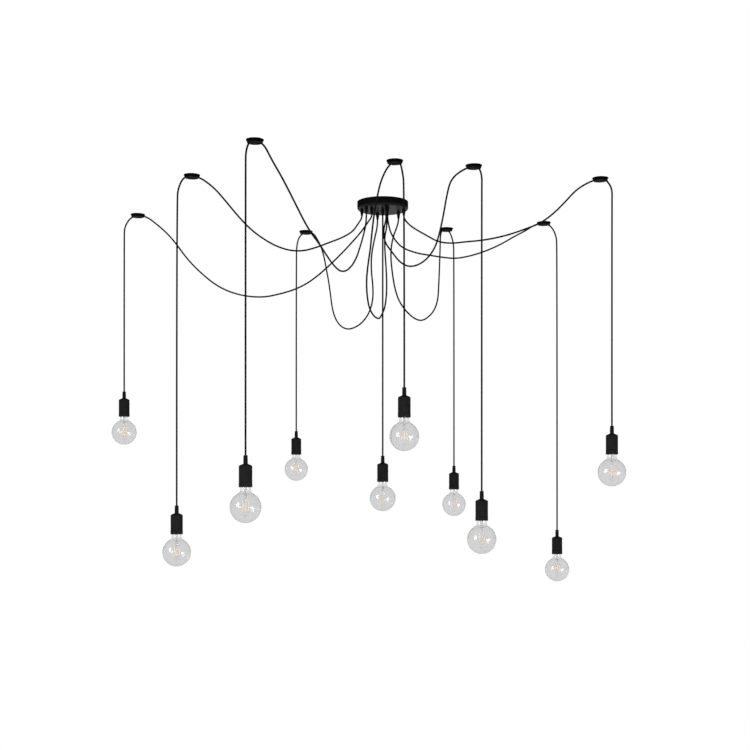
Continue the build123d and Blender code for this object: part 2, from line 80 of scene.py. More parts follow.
# ---------------------------------------------------------------------------
# The ten lights, in mm: cord grip, drop position, height of the bulb's centre
# and the cord's route from the grip's mouth to the swing point.
# ---------------------------------------------------------------------------
LIGHTS = {
    "01": dict(grip=(-40, -26), drop=(-996.5, 215), globe_z=-838.3, route=[
        (-40, -26, -50), (-40, -26, -60), (-55.9, -22.5, -81.2), (-76.8, -14.5, -110), (-114, -4.9, -150.7),
        (-156.3, 6.3, -193.1), (-197.3, 17.4, -230.5), (-238.4, 28.7, -264.8), (-283, 40.6, -295),
        (-332.7, 53.1, -316.2), (-385.3, 66.2, -328.7), (-438.4, 79.5, -337.9), (-492.2, 92.9, -335.4),
        (-545, 106, -324.5), (-595.1, 118.7, -305.6), (-641.7, 130.7, -277.6), (-683.3, 142.1, -242.5),
        (-722.6, 152.9, -204.8), (-757.8, 163, -163.4), (-789.7, 172.7, -118.8), (-825.3, 182, -77.3),
        (-866, 191.1, -41), (-912.2, 197.9, -5.9), (-959.2, 207.5, -5.9), (-978.3, 210.9, -19.7),
        (-995.2, 213.9, -48.6), (-996.5, 215, -91)]),
    "02": dict(grip=(-77, 2), drop=(-694.8, -433.4), globe_z=-1277.9, route=[
        (-77, 2, -50), (-77, 2, -59.5), (-91.3, -4.5, -81.4), (-109.5, -27, -114.2), (-148.1, -55.1, -143),
        (-196.6, -85.2, -167.3), (-242.1, -117.9, -191.9), (-286.8, -151.3, -210.6), (-333.8, -185.3, -215.2),
        (-381.7, -220.2, -204.6), (-426.7, -254.3, -183.3), (-468.1, -285.7, -154.5), (-504.2, -314.3, -118.1),
        (-538.8, -340.3, -78.5), (-574.6, -363.4, -38.6), (-621.3, -383.4, -5.9), (-649.2, -394.5, -5.9),
        (-663.8, -406.9, -5.9), (-678.2, -419.2, -21), (-688.8, -429.7, -50), (-694.8, -433.4, -91)]),
    "03": dict(grip=(-60, -46), drop=(-419.1, -877.6), globe_z=-1126.1, route=[
        (-60, -46, -50), (-60, -46, -61), (-61.7, -57, -95.7), (-68.3, -83, -130.8), (-76.5, -119.1, -170.5),
        (-85.1, -158.6, -207.1), (-92.7, -203.5, -241.4), (-106.3, -250.7, -276.7), (-111.9, -300.6, -293.6),
        (-127.6, -351.1, -319.1), (-148.7, -401, -327.4), (-169.9, -453.3, -313.6), (-189.1, -506.3, -293),
        (-208.6, -555.8, -268.2), (-232.9, -601.3, -243.3), (-254.7, -643, -211.8), (-275.9, -680.5, -173.6),
        (-298, -715.1, -132.9), (-321.3, -746.6, -91.9), (-347.2, -775, -51.5), (-371.6, -802.9, -5.9),
        (-396.3, -820, -5.9), (-403.6, -838.4, -5.9), (-412.2, -856.6, -20.4), (-418.6, -872.1, -49.2),
        (-419.1, -877.6, -91)]),
    "04": dict(grip=(-19, 66), drop=(-353.5, 560.8), globe_z=-971.5, route=[
        (-19, 66, -50), (-19, 66, -74), (-30.7, 84, -120.4), (-42, 98.1, -174.6), (-43.1, 114.4, -231.1),
        (-36.4, 133.8, -284.9), (-35.9, 156.3, -335.8), (-50.2, 184, -382), (-77.8, 219.2, -415.5),
        (-110.8, 261.9, -429.8), (-140.8, 307.9, -429), (-170.3, 349.5, -406.4), (-191.1, 383.2, -366.4),
        (-202.1, 409.4, -318.4), (-208.2, 430.6, -267.3), (-215.9, 448.5, -215), (-225.9, 463.7, -162.4),
        (-235.7, 477.4, -109), (-251.6, 489.7, -56.8), (-281.9, 496.6, -5.9), (-310.8, 510.4, -5.9),
        (-325.3, 527.5, -5.9), (-341.8, 543.2, -18.9), (-350.8, 556.2, -48.3), (-353.5, 560.8, -90)]),
    "05": dict(grip=(0, 0), drop=(0, 0), globe_z=-1094.1, route=[(0, 0, -50), (0, 0, -86)]),
    "06": dict(grip=(16, 75), drop=(65.5, -632.4), globe_z=-898.7, route=[
        (16, 75, -50), (16, 75, -78), (7.2, 53.2, -116.8), (8.3, 34.6, -171.7), (11.8, 12.5, -228.6),
        (14.3, -13.1, -280.7), (14.4, -41.7, -328.8), (11.6, -75.8, -373.7), (5.9, -118.5, -412.8),
        (-5.3, -168.5, -442.7), (-14.1, -221, -464.4), (-32.7, -274.2, -462.1), (-48.4, -326.1, -441.5),
        (-55.6, -372.1, -406.2), (-57.6, -410.2, -362.3), (-52.4, -441.6, -315.4), (-43.9, -468.1, -266.6),
        (-38.6, -491.1, -215.7), (-31.9, -511.4, -163.2), (-21.9, -529.8, -109.4), (-9.3, -546.1, -56.8),
        (16.1, -550.2, -5.9), (45.4, -597, -5.9), (54.7, -613.4, -21), (59.9, -627.5, -50.5), (65.5, -632.4, -91)]),
    "07": dict(grip=(59, 48), drop=(293.9, 508.2), globe_z=-1115.9, route=[
        (59, 48, -50), (59, 48, -68), (37.4, 63.5, -118.5), (29.5, 77, -175.9), (35.2, 93.3, -234.9),
        (44.2, 112.7, -290.6), (60, 135.7, -340.7), (89.5, 165.2, -378.4), (121.9, 205.6, -400.4),
        (150, 254.5, -403.2), (176.7, 300.3, -385.2), (205.3, 335.7, -351.6), (221.2, 361.7, -304.6),
        (225.1, 381.9, -251.8), (228.1, 398.7, -197.1), (230.9, 413.6, -142.2), (232.9, 419.8, -86.8),
        (233.4, 415.8, -37.5), (242.2, 429.5, -5.9), (270.7, 472.9, -5.9), (281.5, 489.3, -21),
        (291.2, 503.3, -49.4), (293.9, 508.2, -91)]),
    "08": dict(grip=(13, -75), drop=(318.9, -571.6), globe_z=-1230.7, route=[
        (13, -75, -50), (13, -75, -78), (1.9, -100.6, -122.6), (5.5, -125.1, -172.6), (33.9, -157.4, -217.7),
        (59.1, -199.7, -259.1), (87.5, -246.5, -284.1), (118.2, -295.6, -289.1), (151.3, -343.6, -274.7),
        (176.9, -384.6, -243.3), (190.3, -418.8, -198.1), (201.3, -448.6, -145.7), (210.3, -473.7, -88.7),
        (223.7, -493.1, -36.3), (270, -507.1, -5.9), (297, -520, -5.9), (304, -536.5, -5.9), (313.6, -552.8, -19.9),
        (320.3, -566.7, -49.1), (318.9, -571.6, -91)]),
    "09": dict(grip=(17, -46), drop=(695.2, 366.4), globe_z=-1374.5, route=[
        (17, -46, -50), (17, -46, -68.2), (22.1, -42, -96.6), (29.7, -31, -122.2), (49.4, -12, -148.1),
        (72.7, 11.7, -166.9), (123.5, 43.4, -179.8), (177.9, 79.4, -181.5), (228.2, 112.8, -182.8),
        (276.9, 144.2, -181.5), (325.4, 175.2, -168), (374.5, 205.7, -148.8), (422.7, 234.5, -125.8),
        (469.6, 261.3, -99.2), (515, 287.1, -68.4), (563.2, 312.3, -40.2), (611.7, 333, -5.9), (657.4, 351.2, -5.9),
        (676.1, 358.3, -20.2), (691.2, 364.3, -49.2), (695.2, 366.4, -91)]),
    "10": dict(grip=(78, 0), drop=(773.8, -400.1), globe_z=-1008.3, route=[
        (78, 0, -50), (78, 0, -60), (94.9, -8.5, -83.4), (119.4, -27, -105.7), (156.2, -53.5, -132.2),
        (201.1, -80.6, -163.9), (248.4, -107.1, -174.4), (297.1, -134.2, -173.8), (347.8, -162.4, -175.2),
        (398.1, -189.9, -172), (448.2, -216.4, -164.3), (498.3, -241.9, -151.2), (547.9, -265.4, -136.3),
        (589.7, -286.9, -108.6), (628.1, -307.1, -72.3), (665.5, -325.9, -31.9), (715.3, -340.8, -5.9),
        (742.4, -353.7, -5.9), (752.4, -368.5, -5.9), (763.2, -383.2, -20.5), (775.7, -395.7, -48.7),
        (773.8, -400.1, -91)]),
}
CORD_R = 3.0
MOUTH_ABOVE_GLOBE = 60.5
BODY_TOP, SHOULDER_TOP, RELIEF_TOP = 61.5, 71.5, 96.5
HOLD_R, RING_R, RING_H = 20.4, 20.7, 15.0


# ---------------------------------------------------------------------------
# Mesh helpers
# ---------------------------------------------------------------------------
def new_object(name, verts, faces, mat, smooth=True, sharp_deg=32.0):
    me = bpy.data.meshes.new(name)
    me.from_pydata([tuple(v) for v in verts], [], faces)
    me.validate()
    me.update()
    me.polygons.foreach_set("use_smooth", [smooth] * len(me.polygons))
    if smooth and sharp_deg:
        me.set_sharp_from_angle(angle=math.radians(sharp_deg))
    me.materials.append(mat)
    ob = bpy.data.objects.new(name, me)
    scene.collection.objects.link(ob)
    return ob


def rounded(points, steps=4):
    """A closed profile of (r, z) or (r, z, fillet) with each fillet turned into an arc."""
    n, out = len(points), []
    for i, p in enumerate(points):
        fillet = p[2] if len(p) > 2 else 0.0
        c = Vector((p[0], p[1]))
        if fillet <= 0:
            out.append(tuple(c))
            continue
        a = Vector(points[i - 1][:2]) - c
        b = Vector(points[(i + 1) % n][:2]) - c
        half = a.angle(b) / 2
        if half < 1e-3 or abs(half - math.pi / 2) < 1e-3:
            out.append(tuple(c))
            continue
        t = min(fillet / math.tan(half), 0.48 * a.length, 0.48 * b.length)
        radius = t * math.tan(half)
        mid = (a.normalized() + b.normalized()).normalized()
        centre = c + mid * (radius / math.sin(half))
        s, e = c + a.normalized() * t - centre, c + b.normalized() * t - centre
        turn = s.angle(e)
        side = 1.0 if s.x * e.y - s.y * e.x > 0 else -1.0
        k_max = max(2, int(math.ceil(steps * turn / (math.pi / 2))))
        for k in range(k_max + 1):
            ang = side * turn * k / k_max
            out.append((centre.x + s.x * math.cos(ang) - s.y * math.sin(ang),
                        centre.y + s.x * math.sin(ang) + s.y * math.cos(ang)))
    return out


def lathe_data(profile, seg=64, at=(0, 0, 0), scale=MM):
    """Closed (r, z) profile turned about Z: a closed mesh, with one point where r is 0."""
    verts, faces, rings = [], [], []
    for r, z in profile:
        if abs(r) < 1e-6:
            rings.append([len(verts)])
            verts.append(Vector((0, 0, z)))
        else:
            rings.append(list(range(len(verts), len(verts) + seg)))
            for k in range(seg):
                a = 2 * math.pi * k / seg
                verts.append(Vector((r * math.cos(a), r * math.sin(a), z)))
    n = len(rings)
    for i in range(n):
        a, b = rings[i], rings[(i + 1) % n]
        if len(a) == 1 and len(b) == 1:
            continue
        for k in range(seg):
            k2 = (k + 1) % seg
            if len(a) == 1:
                faces.append((a[0], b[k2], b[k]))
            elif len(b) == 1:
                faces.append((a[k], a[k2], b[0]))
            else:
                faces.append((a[k], a[k2], b[k2], b[k]))
    at = Vector(at)
    verts = [(v + at) * scale for v in verts]
    # faces point outwards
    volume = 0.0
    for f in faces:
        p0 = verts[f[0]]
        for j in range(1, len(f) - 1):
            volume += p0.dot(verts[f[j]].cross(verts[f[j + 1]]))
    if volume < 0:
        faces = [tuple(reversed(f)) for f in faces]
    return verts, faces


def lathe(name, profile, mat, seg=64, at=(0, 0, 0), sharp_deg=32.0):
    verts, faces = lathe_data(profile, seg, at)
    return new_object(name, verts, faces, mat, sharp_deg=sharp_deg)


def merge(parts):
    verts, faces = [], []
    for v, f in parts:
        base = len(verts)
        verts += list(v)
        faces += [tuple(i + base for i in q) for q in f]
    return verts, faces


def tube_data(points, radius, sides=12, caps=True):
    """A tube along points (metres): verts, faces, and (angle, length) for each vertex."""
    pts = [Vector(p) for p in points]
    n = len(pts)
    tang = []
    for i in range(n):
        a = pts[max(i - 1, 0)]
        b = pts[min(i + 1, n - 1)]
        tang.append((b - a).normalized())
    ref = Vector((1, 0, 0)) if abs(tang[0].x) < 0.8 else Vector((0, 1, 0))
    nrm = (ref - tang[0] * ref.dot(tang[0])).normalized()
    verts, faces, coords = [], [], []
    length = 0.0
    for i in range(n):
        if i:
            length += (pts[i] - pts[i - 1]).length
            q = tang[i - 1].rotation_difference(tang[i])
            nrm = q @ nrm
            nrm = (nrm - tang[i] * nrm.dot(tang[i])).normalized()
        bi = tang[i].cross(nrm)
        for k in range(sides):
            a = 2 * math.pi * k / sides
            verts.append(pts[i] + (nrm * math.cos(a) + bi * math.sin(a)) * radius)
            coords.append((k / sides, length))
    for i in range(n - 1):
        for k in range(sides):
            k2 = (k + 1) % sides
            faces.append((i * sides + k, i * sides + k2, (i + 1) * sides + k2, (i + 1) * sides + k))
    if caps:
        for i, flip in ((0, True), (n - 1, False)):
            c = len(verts)
            verts.append(pts[i].copy())
            coords.append((0.5, 0.0 if i == 0 else length))
            for k in range(sides):
                k2 = (k + 1) % sides
                f = (i * sides + k, i * sides + k2, c)
                faces.append(tuple(reversed(f)) if flip else f)
    return verts, faces, coords


def instance(ob, name, at):
    """Another object with the same mesh, at a place in metres."""
    twin = bpy.data.objects.new(name, ob.data)
    twin.location = at
    scene.collection.objects.link(twin)
    return twin


# ---------------------------------------------------------------------------
# Materials
# ---------------------------------------------------------------------------
def node(nt, kind, **values):
    n = nt.nodes.new(kind)
    for k, v in values.items():
        setattr(n, k, v)
    return n


def start(name):
    m = bpy.data.materials.new(name)
    m.use_nodes = True
    nt = m.node_tree
    return m, nt, nt.nodes["Principled BSDF"]


def ramp(nt, source, lo, hi, at=(0.35, 0.65)):
    r = node(nt, "ShaderNodeValToRGB")
    r.color_ramp.elements[0].position, r.color_ramp.elements[1].position = at
    r.color_ramp.elements[0].color = (*lo, 1)
    r.color_ramp.elements[1].color = (*hi, 1)
    nt.links.new(source, r.inputs["Fac"])
    return r.outputs["Color"]


def span(nt, source, lo, hi, frm=(0.3, 0.7)):
    r = node(nt, "ShaderNodeMapRange")
    r.inputs["From Min"].default_value, r.inputs["From Max"].default_value = frm
    r.inputs["To Min"].default_value, r.inputs["To Max"].default_value = lo, hi
    nt.links.new(source, r.inputs["Value"])
    return r.outputs["Result"]


def noise(nt, coord, scale, detail=4.0, rough=0.55):
    n = node(nt, "ShaderNodeTexNoise")
    n.inputs["Scale"].default_value = scale
    n.inputs["Detail"].default_value = detail
    n.inputs["Roughness"].default_value = rough
    nt.links.new(coord, n.inputs["Vector"])
    return n.outputs["Fac"]


def math_node(nt, op, a, b=None):
    m = node(nt, "ShaderNodeMath", operation=op)
    for i, v in enumerate((a, b)):
        if v is None:
            continue
        if isinstance(v, (int, float)):
            m.inputs[i].default_value = v
        else:
            nt.links.new(v, m.inputs[i])
    return m.outputs[0]


def bump(nt, height, distance, strength=1.0, before=None):
    b = node(nt, "ShaderNodeBump")
    b.inputs["Distance"].default_value = distance
    b.inputs["Strength"].default_value = strength
    nt.links.new(height, b.inputs["Height"])
    if before is not None:
        nt.links.new(before, b.inputs["Normal"])
    return b.outputs["Normal"]


def object_coords(nt):
    return node(nt, "ShaderNodeTexCoord").outputs["Object"]


def moulded(name, dark, light, rough, grain, grain_mm, specular=0.5, cloud=60.0, coat=0.0):
    """Solid-coloured surface with a fine grain, cloudy colour and uneven gloss."""
    m, nt, b = start(name)
    co = object_coords(nt)
    big = noise(nt, co, cloud, 3.0)
    fine = noise(nt, co, grain, 2.0, 0.6)
    speck = noise(nt, co, grain * 0.37, 3.0)
    nt.links.new(ramp(nt, big, dark, light), b.inputs["Base Color"])
    nt.links.new(span(nt, speck, rough[0], rough[1]), b.inputs["Roughness"])
    b.inputs["Specular IOR Level"].default_value = specular
    b.inputs["Coat Weight"].default_value = coat
    b.inputs["Coat Roughness"].default_value = 0.3
    n1 = bump(nt, fine, grain_mm * MM, 0.55)
    n2 = bump(nt, big, grain_mm * 2.5 * MM, 0.35, n1)
    nt.links.new(n2, b.inputs["Normal"])
    return m


def metal(name, dark, light, rough, scale=400.0, brushed=None):
    m, nt, b = start(name)
    co = object_coords(nt)
    if brushed:
        mp = node(nt, "ShaderNodeMapping")
        mp.inputs["Scale"].default_value = brushed
        nt.links.new(co, mp.inputs["Vector"])
        co = mp.outputs["Vector"]
    big = noise(nt, co, scale * 0.12, 4.0)
    fine = noise(nt, co, scale, 3.0)
    nt.links.new(ramp(nt, big, dark, light), b.inputs["Base Color"])
    b.inputs["Metallic"].default_value = 1.0
    nt.links.new(span(nt, fine, rough[0], rough[1]), b.inputs["Roughness"])
    nt.links.new(bump(nt, fine, 0.00003, 0.5), b.inputs["Normal"])
    return m


def textile():
    """Braided textile sheath. The mesh's UV is (turns round the cord, metres along it)."""
    m, nt, b = start("textile_black")
    uv = node(nt, "ShaderNodeUVMap", uv_map="braid").outputs["UV"]
    sep = node(nt, "ShaderNodeSeparateXYZ")
    nt.links.new(uv, sep.inputs[0])
    u, v = sep.outputs["X"], sep.outputs["Y"]
    around = math_node(nt, "MULTIPLY", u, 2 * math.pi * 8)
    along = math_node(nt, "MULTIPLY", v, 2 * math.pi / 0.0028)
    s1 = math_node(nt, "SINE", math_node(nt, "ADD", around, along))
    s2 = math_node(nt, "SINE", math_node(nt, "SUBTRACT", around, along))
    weave = math_node(nt, "MULTIPLY", s1, s2)
    # the yarns inside each strand
    f1 = math_node(nt, "SINE", math_node(nt, "MULTIPLY", math_node(nt, "ADD", around, along), 4.0))
    f2 = math_node(nt, "SINE", math_node(nt, "MULTIPLY", math_node(nt, "SUBTRACT", around, along), 4.0))
    over = math_node(nt, "GREATER_THAN", weave, 0.0)
    yarn = node(nt, "ShaderNodeMix", data_type="FLOAT")
    nt.links.new(over, yarn.inputs[0])
    nt.links.new(f1, yarn.inputs[2])
    nt.links.new(f2, yarn.inputs[3])
    height = math_node(nt, "ADD", math_node(nt, "MULTIPLY", math_node(nt, "ABSOLUTE", weave), 0.8),
                       math_node(nt, "MULTIPLY", yarn.outputs[0], 0.16))
    co = object_coords(nt)
    fuzz = noise(nt, co, 2600.0, 2.0, 0.7)
    tone = math_node(nt, "ADD", math_node(nt, "MULTIPLY", height, 0.5), math_node(nt, "MULTIPLY", fuzz, 0.5))
    nt.links.new(ramp(nt, tone, (0.004, 0.004, 0.0042), (0.011, 0.011, 0.0115), (0.15, 0.85)), b.inputs["Base Color"])
    nt.links.new(span(nt, fuzz, 0.72, 0.92), b.inputs["Roughness"])
    b.inputs["Specular IOR Level"].default_value = 0.25
    b.inputs["Sheen Weight"].default_value = 0.05
    b.inputs["Sheen Roughness"].default_value = 0.45
    n1 = bump(nt, height, 0.00014, 0.5)
    n2 = bump(nt, fuzz, 0.00006, 0.5, n1)
    nt.links.new(n2, b.inputs["Normal"])
    return m


def glass(name, tint, rough=0.0, wave=0.00002, ior=1.5, painted_neck_highlight=None):
    """Clear glass. With painted_neck_highlight=(tint, low, high) it grows paler between two heights in metres: a
    painted highlight on the neck under the holder.
    """
    m, nt, b = start(name)
    co = object_coords(nt)
    w = noise(nt, co, 38.0, 1.0, 0.4)
    b.inputs["Base Color"].default_value = (*tint, 1)
    # painted highlight: the glass is tinted paler between the two heights, standing in for the glints on the neck
    if painted_neck_highlight:
        sep = node(nt, "ShaderNodeSeparateXYZ")
        nt.links.new(co, sep.inputs[0])
        rise = span(nt, sep.outputs["Z"], 0.0, 1.0, painted_neck_highlight[1:])
        nt.links.new(ramp(nt, rise, tint, painted_neck_highlight[0], (0.0, 1.0)), b.inputs["Base Color"])
    b.inputs["Transmission Weight"].default_value = 1.0
    b.inputs["IOR"].default_value = ior
    b.inputs["Roughness"].default_value = rough
    nt.links.new(bump(nt, w, wave, 0.3), b.inputs["Normal"])
    return m


def phosphor():
    """Yellow silicone over the chips of a filament stick, with a faint painted glow standing in for the light that
    falls on it.
    """
    m, nt, b = start("phosphor_amber_painted_glow")
    co = object_coords(nt)
    g = noise(nt, co, 900.0, 3.0)
    nt.links.new(ramp(nt, g, (0.93, 0.80, 0.69), (0.98, 0.87, 0.77)), b.inputs["Base Color"])
    nt.links.new(span(nt, g, 0.35, 0.55), b.inputs["Roughness"])
    b.inputs["Subsurface Weight"].default_value = 0.2
    b.inputs["Subsurface Scale"].default_value = 0.0008
    b.inputs["Subsurface Radius"].default_value = (1.0, 0.6, 0.3)
    # painted light: the unlit sticks glow faintly so that they read brighter than the glass around them
    b.inputs["Emission Color"].default_value = (1.0, 0.84, 0.70, 1)
    b.inputs["Emission Strength"].default_value = 0.34
    nt.links.new(bump(nt, g, 0.00005, 0.6), b.inputs["Normal"])
    return m


M_TEXTILE = textile()
M_CANOPY = moulded("powder_coat_black", (0.0045, 0.0045, 0.005), (0.007, 0.007, 0.0075), (0.28, 0.40), 1100.0, 0.03, 0.34, 22.0)
M_HOOK = moulded("hook_plastic_black", (0.0015, 0.0015, 0.0018), (0.0035, 0.0035, 0.004), (0.50, 0.64), 1500.0, 0.04, 0.1, 60.0)
M_GRIP = moulded("grip_nylon_black", (0.004, 0.004, 0.0045), (0.007, 0.007, 0.0075), (0.46, 0.6), 1700.0, 0.05, 0.15, 90.0)
M_HOLDER = moulded("holder_satin_black", (0.021, 0.021, 0.0225), (0.029, 0.029, 0.031), (0.42, 0.54), 1300.0, 0.04, 0.16, 45.0)
M_RELIEF = moulded("relief_nylon_black", (0.014, 0.014, 0.0145), (0.021, 0.021, 0.0215), (0.45, 0.58), 1700.0, 0.05, 0.16, 90.0)
M_INSERT = moulded("socket_porcelain", (0.60, 0.59, 0.56), (0.68, 0.67, 0.64), (0.28, 0.38), 700.0, 0.04, 0.5, 60.0)
M_TERMINAL = moulded("terminal_nylon", (0.62, 0.61, 0.57), (0.70, 0.69, 0.66), (0.38, 0.48), 900.0, 0.04, 0.5, 70.0)
M_LEAD = moulded("lead_sheath_black", (0.016, 0.016, 0.017), (0.026, 0.026, 0.027), (0.42, 0.55), 900.0, 0.03, 0.4, 80.0)
M_VITRITE = moulded("base_glass_black", (0.006, 0.006, 0.009), (0.012, 0.012, 0.016), (0.12, 0.2), 500.0, 0.02, 0.5, 120.0)
M_ZINC = metal("zinc_plated_steel", (0.46, 0.47, 0.48), (0.62, 0.63, 0.64), (0.30, 0.42), 350.0, (1.0, 14.0, 14.0))
M_SCREW = metal("blackened_steel", (0.035, 0.035, 0.037), (0.06, 0.06, 0.063), (0.38, 0.5), 900.0)
M_BRASS = metal("brass", (0.62, 0.43, 0.17), (0.76, 0.55, 0.25), (0.22, 0.34), 500.0)
M_NICKEL = metal("nickel", (0.62, 0.60, 0.57), (0.74, 0.72, 0.69), (0.18, 0.28), 600.0)
M_SOLDER = metal("solder", (0.50, 0.50, 0.51), (0.66, 0.66, 0.67), (0.30, 0.45), 900.0)
M_WIRE = metal("mount_wire", (0.72, 0.70, 0.67), (0.84, 0.82, 0.79), (0.30, 0.42), 900.0)
# the globe's tint grows paler towards the neck: a painted highlight just under the holder
M_GLASS = glass("globe_glass", (0.812, 0.812, 0.812), 0.0, 0.00001, painted_neck_highlight=((0.885, 0.885, 0.885), 0.044, 0.054))
M_STEM = glass("stem_glass", (0.93, 0.935, 0.935), 0.02, 0.00006)
M_PHOSPHOR_PAINTED_GLOW = phosphor()

# ---------------------------------------------------------------------------
# Cords: one tube for each light, along the smooth curve of its route
# ---------------------------------------------------------------------------
def line_of(points):
    """The points of the route's NURBS curve."""
    cu = bpy.data.curves.new("line", "CURVE")
    cu.dimensions = "3D"
    sp = cu.splines.new("NURBS")
    sp.points.add(len(points) - 1)
    for q, p in zip(sp.points, points):
        q.co = (*p, 1.0)
    sp.order_u = 3
    sp.use_endpoint_u = True
    sp.resolution_u = 40
    ob = bpy.data.objects.new("line", cu)
    me = bpy.data.meshes.new_from_object(ob)
    pts = [v.co.copy() for v in me.vertices]
    bpy.data.meshes.remove(me)
    bpy.data.objects.remove(ob)
    bpy.data.curves.remove(cu)
    # neighbours closer than 3.5 mm add nothing
    kept = [pts[0]]
    for p in pts[1:-1]:
        if (p - kept[-1]).length > 0.0035:
            kept.append(p)
    if (pts[-1] - kept[-1]).length < 0.002:
        kept.pop()
    kept.append(pts[-1])
    return kept


def cord(n, d):
    x, y = d["drop"]
    mouth = d["globe_z"] + MOUTH_ABOVE_GLOBE
    end = mouth + SHOULDER_TOP - 9.0
    route = [Vector(p) * MM for p in d["route"]] + [Vector((x, y, end)) * MM]
    line = line_of(route)
    verts, faces, coords = tube_data(line, CORD_R * MM, 16)
    ob = new_object("cord_" + n, verts, faces, M_TEXTILE, sharp_deg=60)
    me = ob.data
    uv = me.uv_layers.new(name="braid")
    flat = []
    for poly in me.polygons:
        us = [coords[v][0] for v in poly.vertices]
        wrap = max(us) - min(us) > 0.5 and len(us) == 4
        for v in poly.vertices:
            u, w = coords[v]
            flat += [u + 1.0 if wrap and u < 0.5 else u, w]
    uv.data.foreach_set("uv", flat)
    nodes = ["drop_cord_" + n] + (["swag_cord_" + n] if len(d["route"]) > 4 else [])
    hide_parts(*nodes)
    if len(d["route"]) > 4:
        # the swag's direction just under the hook is worked out here; nothing uses it
        before = Vector(d["route"][-4])
        u = Vector((x - before.x, y - before.y, 0)).normalized()
    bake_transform(ob)
    return ob


CORDS = {n: cord(n, d) for n, d in LIGHTS.items()}

# ---------------------------------------------------------------------------
# Carried-over nodes: smooth shading and their materials
# ---------------------------------------------------------------------------
NODE_MATERIALS = {
    "canopy_cover": M_CANOPY, "ceiling_bracket": M_ZINC, "canopy_screws": M_SCREW, "terminal_block": M_TERMINAL,
    "terminal_contacts": M_BRASS, "cord_grips": M_GRIP, "cord_grip_nuts": M_GRIP, "inner_leads": M_LEAD,
    "hook_bases": M_HOOK, "hook_caps": M_HOOK, "hook_screws": M_SCREW,
}
for name, mat in NODE_MATERIALS.items():
    ob = frame["nodes"][name]
    ob.data.materials.clear()
    ob.data.materials.append(mat)
    ob.data.polygons.foreach_set("use_smooth", [True] * len(ob.data.polygons))
    ob.data.set_sharp_from_angle(angle=math.radians(28))

# ---------------------------------------------------------------------------
# Lampholders (heights in mm above the mouth)
# ---------------------------------------------------------------------------
RELIEF = rounded([
    (3.1, RELIEF_TOP, 0.3), (6.3, RELIEF_TOP, 0.7), (6.75, RELIEF_TOP - 1.4, 0.5), (6.75, RELIEF_TOP - 4.6, 0.3),
    (6.35, RELIEF_TOP - 5.4, 0.4), (6.35, RELIEF_TOP - 6.6, 0.5), (6.65, RELIEF_TOP - 8.6, 1.5), (6.9, RELIEF_TOP - 16.0, 3.0),
    (6.9, SHOULDER_TOP + 2.2, 0.4), (6.6, SHOULDER_TOP + 1.6, 0.3), (6.6, SHOULDER_TOP + 0.05), (4.95, SHOULDER_TOP + 0.05),
    (4.95, SHOULDER_TOP - 9.0, 0.4), (3.1, SHOULDER_TOP - 9.0, 0.3)], 4)
UPPER = rounded([
    (5.05, SHOULDER_TOP), (7.5, SHOULDER_TOP, 0.5), (8.6, SHOULDER_TOP - 1.3, 1.0), (14.0, SHOULDER_TOP - 3.5, 8.0),
    (19.2, SHOULDER_TOP - 5.7, 3.2), (HOLD_R, SHOULDER_TOP - 8.4, 3.0), (HOLD_R, RING_H + 0.9, 0.45), (HOLD_R - 0.7, RING_H + 0.3, 0.2),
    (HOLD_R - 2.2, RING_H + 0.3), (HOLD_R - 2.2, SHOULDER_TOP - 10.4, 2.0), (16.0, SHOULDER_TOP - 8.4, 1.5), (5.05, SHOULDER_TOP - 6.4)], 6)
RING = rounded([
    (RING_R - 2.1, 0.0, 0.3), (RING_R, 0.0, 1.7), (RING_R, 1.95, 0.1), (RING_R - 0.18, 2.1, 0.1), (RING_R - 0.18, 2.5, 0.1),
    (RING_R, 2.7, 0.15), (RING_R, RING_H - 0.2, 0.5), (RING_R - 0.7, RING_H, 0.2), (17.75, RING_H), (17.75, 27.0, 0.4),
    (16.3, 27.0, 0.4), (16.3, 10.5, 0.5), (17.9, 9.0, 0.4), (17.9, 0.0, 0.5)], 4)
CUP = rounded([
    (0.0, 57.0), (13.8, 57.0, 1.2), (15.9, 54.8, 1.0), (15.9, 11.6, 0.5), (14.55, 11.6, 0.4), (14.55, 44.0, 0.6), (0.0, 44.0)], 4)


def threaded(r0, amp, z0, z1, thick, pitch=3.6, seg=72, step=0.3, inward=False):
    """Rolled round thread as a thin closed shell."""
    rows = int(round((z1 - z0) / step))
    verts, faces = [], []
    for skin in (0, 1):
        off = (-thick if not inward else thick) * skin
        for i in range(rows + 1):
            z = z0 + (z1 - z0) * i / rows
            edge = min(1.0, (z - z0) / 2.2, (z1 - z) / 2.2)
            k_amp = amp * max(0.0, edge)
            for k in range(seg):
                a = 2 * math.pi * k / seg
                r = r0 + off + k_amp * math.cos(2 * math.pi * z / pitch - a)
                verts.append(Vector((r * math.cos(a), r * math.sin(a), z)) * MM)
    base = (rows + 1) * seg
    for i in range(rows):
        for k in range(seg):
            k2 = (k + 1) % seg
            q = (i * seg + k, i * seg + k2, (i + 1) * seg + k2, (i + 1) * seg + k)
            p = tuple(base + j for j in q)
            if inward:
                faces += [tuple(reversed(q)), p]
            else:
                faces += [q, tuple(reversed(p))]
    for i in (0, rows):
        for k in range(seg):
            k2 = (k + 1) % seg
            q = (i * seg + k, i * seg + k2, base + i * seg + k2, base + i * seg + k)
            flip = (i == 0) == inward
            faces.append(tuple(reversed(q)) if not flip else q)
    return verts, faces


shell_v, shell_f = threaded(14.0, 0.28, 13.0, 41.0, 0.35, inward=True)
floor_v, floor_f = lathe_data(rounded([(14.3, 41.0), (14.3, 41.5, 0.2), (9.0, 41.5, 0.2), (9.0, 41.0)], 3), 72)
tongue_v, tongue_f = lathe_data(rounded([(0, 37.1), (3.3, 36.9, 0.3), (3.6, 37.6, 0.2), (1.6, 37.9, 0.3), (1.6, 44.0), (0, 44.0)], 3), 40)


